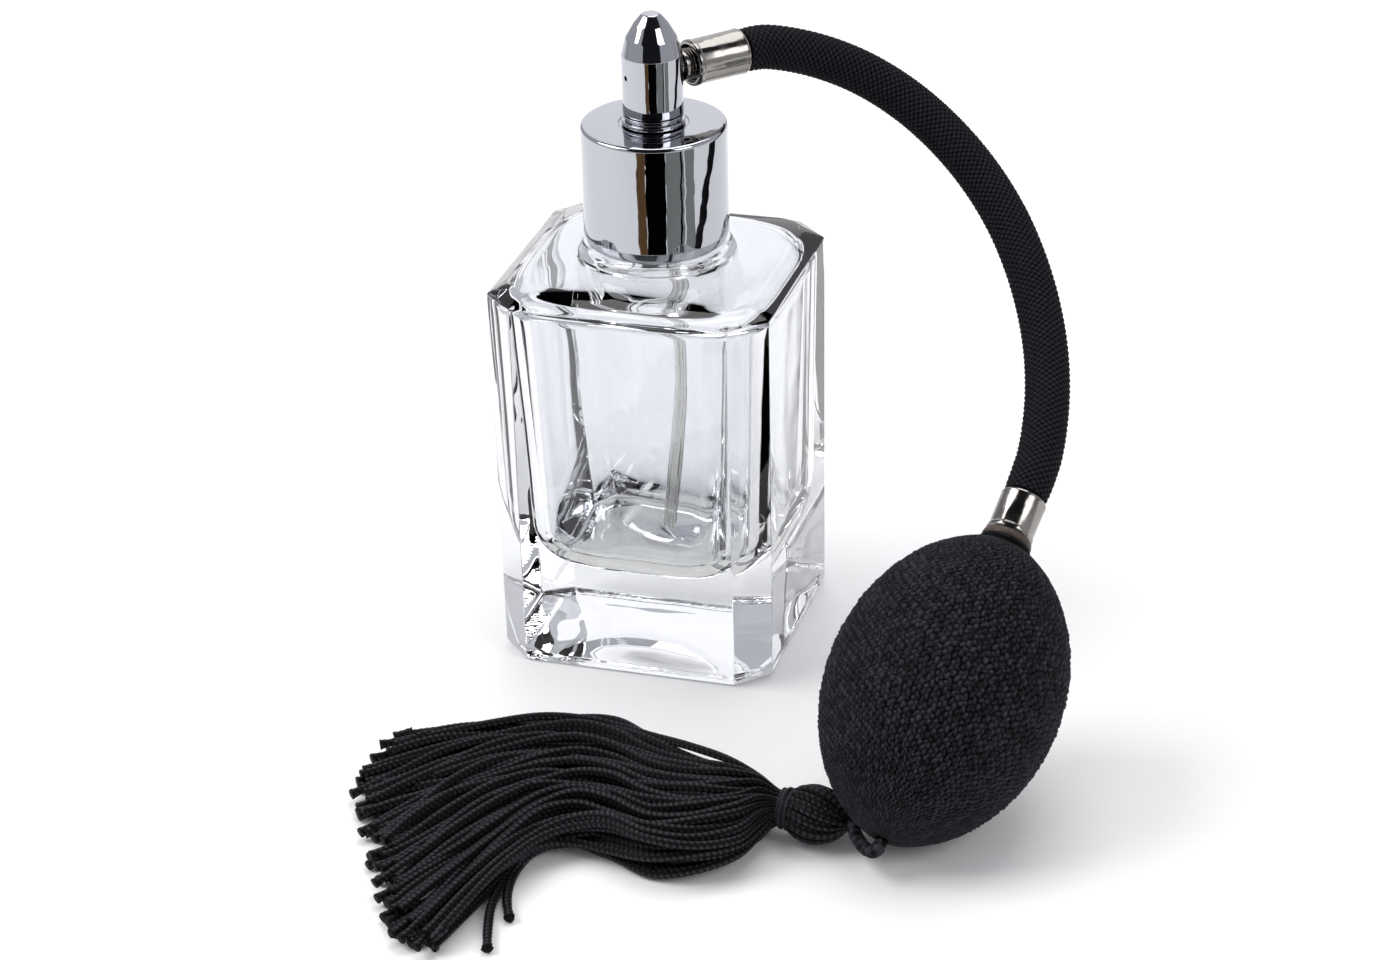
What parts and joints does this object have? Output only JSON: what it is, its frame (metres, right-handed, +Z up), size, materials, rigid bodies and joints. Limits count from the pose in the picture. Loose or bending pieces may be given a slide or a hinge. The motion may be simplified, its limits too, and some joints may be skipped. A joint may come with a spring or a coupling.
{
  "type": "bulb perfume atomiser",
  "caption": "Thick square glass perfume bottle with cut corners, a chromed screw-on spray head and a knitted squeeze bulb with a tassel on a braided air hose.",
  "frame": {"origin": "centre of the bottle's underside, on the table", "axes": "+Z up along the bottle, +X along its wide face to the side where the bulb lies, -Y to the front"},
  "size_m": [0.1078, 0.1348, 0.1052],
  "materials": {
    "glass": "clear polished",
    "chrome": "mirror",
    "nickel": "satin nickel plate",
    "brass": "turned",
    "steel": "polished",
    "white_plastic": "moulded",
    "clear_tube": "translucent",
    "black_rubber": "matt",
    "brown_rubber": "matt",
    "hose_yarn": "braided",
    "knit_yarn": "knitted",
    "tassel_yarn": "twisted strands"
  },
  "bodies": {
    "bottle": {"glass_bottle": "glass"},
    "gasket": {"neck_gasket": "brown_rubber"},
    "spray_head": {"head_plug": "white_plastic", "dip_tube_socket": "white_plastic", "dip_tube": "clear_tube", "stem_tube": "brass"},
    "collar": {"collar_shell": "chrome", "threaded_insert": "white_plastic"},
    "nozzle": {"swivel_ring": "chrome", "nozzle_body": "chrome", "spray_jet": "brass", "hose_nipple": "nickel", "upper_ferrule": "nickel", "hose_braid": "hose_yarn", "hose_inner_tube": "black_rubber"},
    "bulb": {"lower_ferrule": "nickel", "bulb_connector": "brass", "bulb_lip_ring": "brown_rubber", "knit_cover": "knit_yarn", "rubber_bulb": "black_rubber", "intake_valve_body": "brass"},
    "thumb_wall": {"cover_thumb_patch": "knit_yarn", "bulb_thumb_wall": "black_rubber"},
    "valve_ball": {"intake_valve_ball": "steel"},
    "tassel_loop": {"tassel_cord": "tassel_yarn", "tassel_head": "tassel_yarn", "tassel_binding": "tassel_yarn"},
    "tassel": {"tassel_skirt": "tassel_yarn"}
  },
  "joints": [
    {"name": "head_lift", "type": "slide", "parent": "bottle", "child": "gasket", "axis": [0, 0, 1], "range_m": [0, 0.07]},
    {"name": "thread_rise", "type": "slide", "parent": "gasket", "child": "spray_head", "axis": [0, 0, 1], "range_m": [0, 0.0045]},
    {"name": "collar_turn", "type": "hinge", "parent": "spray_head", "child": "collar", "pos_m": [0, 0, 0.078], "axis": [0, 0, 1], "range_deg": [0, 540]},
    {"name": "nozzle_swivel", "type": "hinge", "parent": "spray_head", "child": "nozzle", "pos_m": [0, 0, 0.088], "axis": [0, 0, 1], "continuous": true},
    {"name": "hose_flex", "type": "hinge", "parent": "nozzle", "child": "bulb", "pos_m": [0.0525, 0.0169, 0.0694], "axis": [-1, 0, 0], "range_deg": [0, 35], "stiffness_Nm_per_rad": 0.08, "deforming": ["hose_braid", "hose_inner_tube"]},
    {"name": "bulb_squeeze", "type": "slide", "parent": "bulb", "child": "thumb_wall", "axis": [0.1179, 0.5452, -0.83], "range_m": [0, 0.01], "stiffness_N_per_m": 600},
    {"name": "intake_valve", "type": "slide", "parent": "bulb", "child": "valve_ball", "axis": [0.1754, 0.8113, 0.5577], "range_m": [0, 0.0015]},
    {"name": "tassel_swing", "type": "hinge", "parent": "bulb", "child": "tassel_loop", "pos_m": [0.05362, -0.06947, 0.00614], "axis": [0, 0, 1], "range_deg": [0, 70]},
    {"name": "tassel_lift", "type": "hinge", "parent": "tassel_loop", "child": "tassel", "pos_m": [0.0358, -0.0619, 0.0078], "axis": [-0.0698, 0.9976, 0], "range_deg": [0, 45]}
  ],
  "couplings": [
    {"joint": "collar_turn", "follows": "thread_rise", "rad_per_m": 2094.3}
  ]
}
